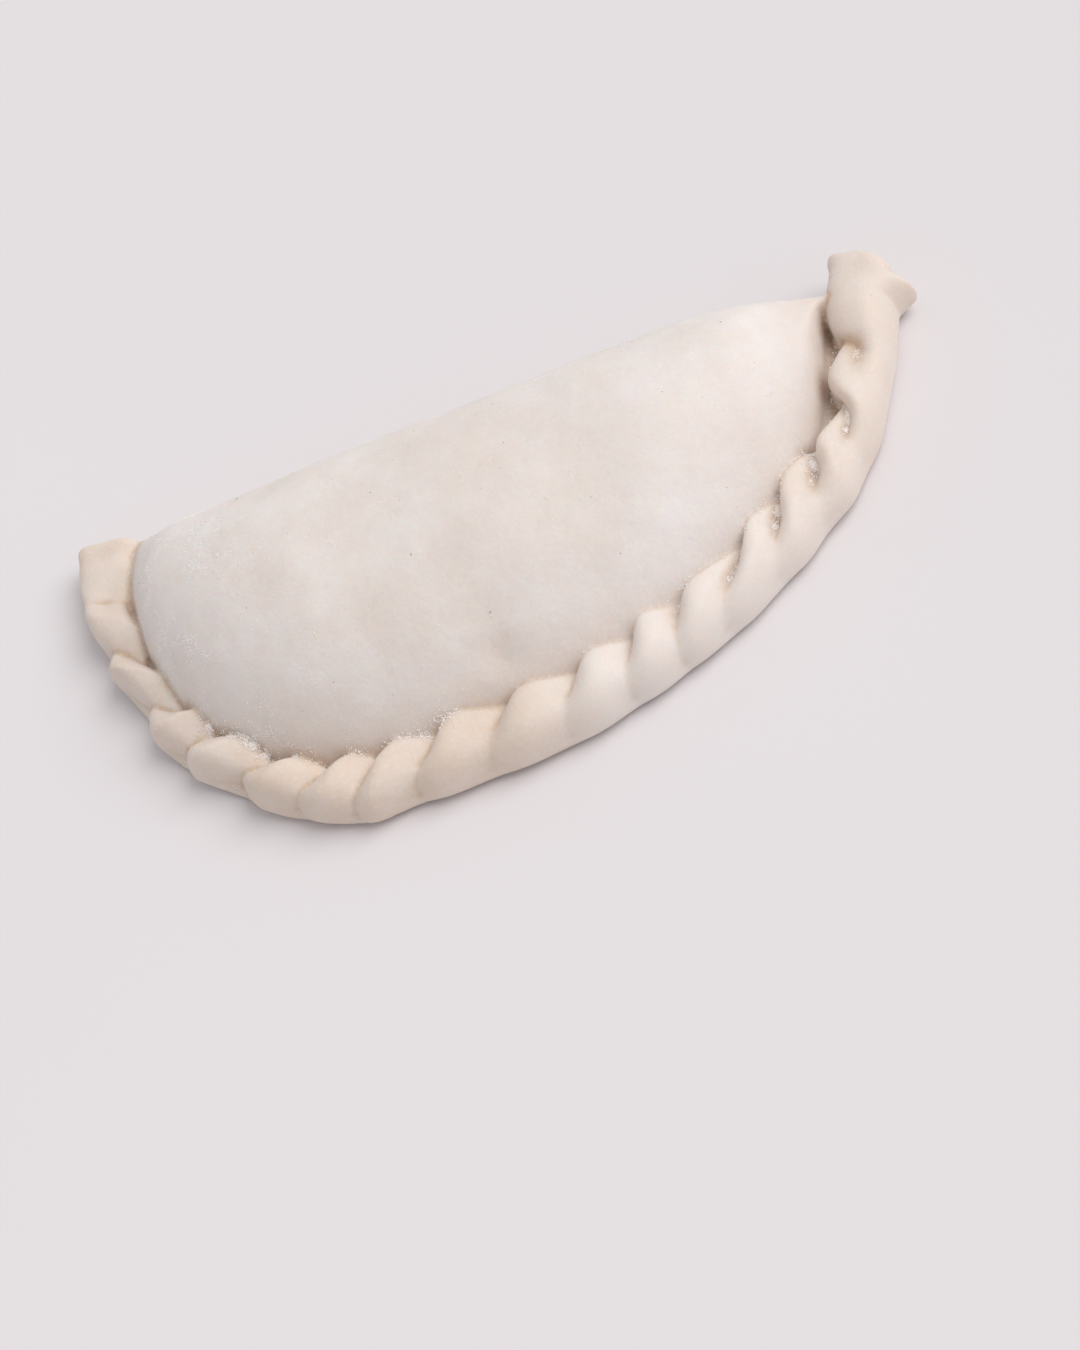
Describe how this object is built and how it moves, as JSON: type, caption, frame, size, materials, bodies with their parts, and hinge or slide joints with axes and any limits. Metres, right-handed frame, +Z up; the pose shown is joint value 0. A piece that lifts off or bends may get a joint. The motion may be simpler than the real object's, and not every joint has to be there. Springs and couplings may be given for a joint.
{
  "type": "empanada",
  "caption": "Raw filled empanada: a half-moon of pale dough with a domed case and a twisted rope crimp along its curved edge.",
  "frame": {"origin": "middle of the bounding box in plan, on the surface that the empanada lies on", "axes": "+X along the straight fold towards the pinched knob, +Y from the rope crimp towards the fold, +Z up from the flat underside"},
  "size_m": [0.126, 0.063, 0.0234],
  "materials": {
    "raw_dough": "soft matt raw wheat dough, dusted with flour"
  },
  "bodies": {
    "root": {"empanada": "raw_dough"}
  },
  "joints": []
}
